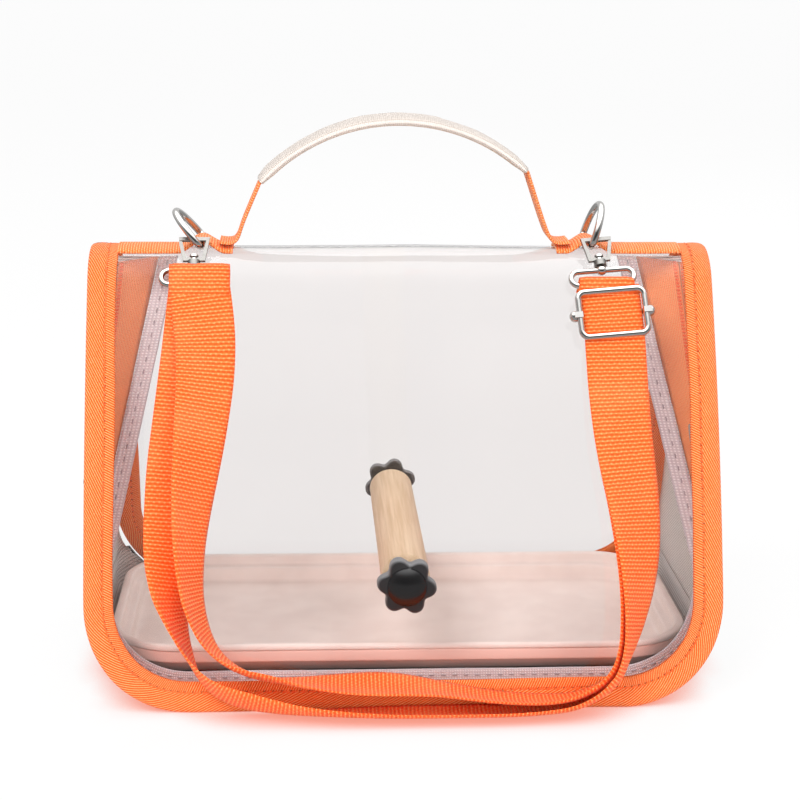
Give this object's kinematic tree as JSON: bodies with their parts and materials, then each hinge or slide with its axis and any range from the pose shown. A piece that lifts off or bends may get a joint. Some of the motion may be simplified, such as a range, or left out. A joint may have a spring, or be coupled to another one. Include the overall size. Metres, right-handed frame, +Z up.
{
  "type": "bird travel carrier",
  "caption": "Clear arched travel carrier for a small pet bird, with a zipped front that swings up, a wooden perch, a lift-out tray, a top handle and a clip-on shoulder strap.",
  "frame": {"origin": "on the floor, under the middle of the carrier's base, halfway across its width and halfway between the front and back bindings", "axes": "+X across the carrier to the right as seen from the front, +Y from the opening front to the back, +Z up"},
  "size_m": [0.2644, 0.1676, 0.2336],
  "materials": {
    "clear_sheet": "clear soft vinyl sheet",
    "orange_binding": "herringbone binding tape",
    "orange_tape": "woven zipper tape",
    "orange_coil": "nylon zipper coil",
    "grey_ribbon": "woven seam ribbon",
    "dark_cloth": "coated base cloth",
    "grey_mesh": "ribbed mesh cloth",
    "board": "stiffening board",
    "pink_tray": "satin moulded plastic",
    "pale_wood": "sanded, unvarnished",
    "black_plastic": "glossy moulded plastic",
    "screw_steel": "plated steel",
    "orange_webbing": "ribbed nylon webbing",
    "beige_sleeve": "soft imitation leather",
    "ring_chrome": "bright nickel plate",
    "zip_metal": "painted to match the tape"
  },
  "bodies": {
    "cabin": {"back_sheet": "clear_sheet", "back_binding": "orange_binding", "zipper_tape_body": "orange_tape", "zipper_coil_body": "orange_coil", "seam_ribbon": "grey_ribbon", "base_cloth": "dark_cloth", "side_mesh_left": "grey_mesh", "side_mesh_right": "grey_mesh", "base_board": "board", "perch_dowel": "pale_wood", "ridge_webbing_left": "orange_webbing", "ridge_webbing_right": "orange_webbing"},
    "flap": {"front_sheet": "clear_sheet", "front_binding": "orange_binding", "zipper_tape_flap": "orange_tape", "zipper_coil_flap": "orange_coil"},
    "strap": {"strap_strand_front": "orange_webbing", "strap_strand_back": "orange_webbing", "strap_fold_left": "orange_webbing", "strap_fold_right": "orange_webbing", "strap_slider": "ring_chrome", "slider_bar": "ring_chrome", "hook_eye_left": "ring_chrome", "hook_eye_right": "ring_chrome"},
    "tray": {"tray": "pink_tray"},
    "knob_front": {"knob_front": "black_plastic", "knob_screw_front": "screw_steel"},
    "knob_back": {"knob_back": "black_plastic", "knob_screw_back": "screw_steel"},
    "handle": {"handle_webbing": "orange_webbing", "handle_sleeve": "beige_sleeve"},
    "ring_left": {"d_ring_left": "ring_chrome"},
    "ring_right": {"d_ring_right": "ring_chrome"},
    "claw_left": {"hook_claw_left": "ring_chrome"},
    "claw_right": {"hook_claw_right": "ring_chrome"},
    "gate_left": {"hook_gate_left": "ring_chrome"},
    "gate_right": {"hook_gate_right": "ring_chrome"},
    "zip_left": {"zip_slider_left": "zip_metal"},
    "zip_right": {"zip_slider_right": "zip_metal"},
    "pull_left": {"zip_pull_left": "zip_metal"},
    "pull_right": {"zip_pull_right": "zip_metal"}
  },
  "joints": [
    {"name": "flap_swing", "type": "hinge", "parent": "cabin", "child": "flap", "pos_m": [0, -0.011, 0.1824], "axis": [-1, 0, 0], "range_deg": [0, 65]},
    {"name": "strap_swing", "type": "hinge", "parent": "flap", "child": "strap", "pos_m": [0, -0.011, 0.1824], "axis": [-1, 0, 0], "range_deg": [0, 15]},
    {"name": "tray_lift", "type": "slide", "parent": "cabin", "child": "tray", "axis": [0, 0, 1], "range_m": [0, 0.012]},
    {"name": "knob_front_turn", "type": "hinge", "parent": "flap", "child": "knob_front", "pos_m": [0, -0.07298, 0.051], "axis": [0, -1, 0], "continuous": true},
    {"name": "knob_back_turn", "type": "hinge", "parent": "cabin", "child": "knob_back", "pos_m": [0, 0.07298, 0.051], "axis": [0, 1, 0], "continuous": true},
    {"name": "handle_swing", "type": "hinge", "parent": "cabin", "child": "handle", "pos_m": [0, 0, 0.1893], "axis": [1, 0, 0], "range_deg": [-75, 75]},
    {"name": "ring_left_turn", "type": "hinge", "parent": "cabin", "child": "ring_left", "pos_m": [-0.084, 0, 0.1796], "axis": [0, 1, 0], "range_deg": [0, 12]},
    {"name": "ring_right_turn", "type": "hinge", "parent": "cabin", "child": "ring_right", "pos_m": [0.08, 0, 0.1796], "axis": [0, 1, 0], "range_deg": [-8, 8]},
    {"name": "claw_left_swivel", "type": "hinge", "parent": "strap", "child": "claw_left", "pos_m": [-0.0867, -0.02064, 0.17091], "axis": [0, -0.6428, -0.766], "range_deg": [-4, 4]},
    {"name": "gate_left_open", "type": "hinge", "parent": "claw_left", "child": "gate_left", "pos_m": [-0.09085, -0.01653, 0.17581], "axis": [0, 0.766, -0.6428], "range_deg": [0, 12], "stiffness_Nm_per_rad": 0.004},
    {"name": "claw_right_swivel", "type": "hinge", "parent": "strap", "child": "claw_right", "pos_m": [0.08341, -0.0206, 0.17095], "axis": [0.0872, -0.6403, -0.7631], "range_deg": [-4, 4]},
    {"name": "gate_right_open", "type": "hinge", "parent": "claw_right", "child": "gate_right", "pos_m": [0.08698, -0.01627, 0.17611], "axis": [0, -0.766, 0.6428], "range_deg": [0, 12], "stiffness_Nm_per_rad": 0.004},
    {"name": "zip_left_run", "type": "slide", "parent": "cabin", "child": "zip_left", "axis": [-0.0845, -0.3986, -0.9132], "range_m": [0, 0.04]},
    {"name": "pull_left_lift", "type": "hinge", "parent": "zip_left", "child": "pull_left", "pos_m": [-0.12875, -0.03357, 0.10375], "axis": [0.3379, 0.8507, -0.4026], "range_deg": [0, 150]},
    {"name": "zip_right_run", "type": "slide", "parent": "cabin", "child": "zip_right", "axis": [0.0845, -0.3986, -0.9132], "range_m": [0, 0.04]},
    {"name": "pull_right_lift", "type": "hinge", "parent": "zip_right", "child": "pull_right", "pos_m": [0.12875, -0.03357, 0.10375], "axis": [0.3379, -0.8507, 0.4026], "range_deg": [0, 150]}
  ]
}
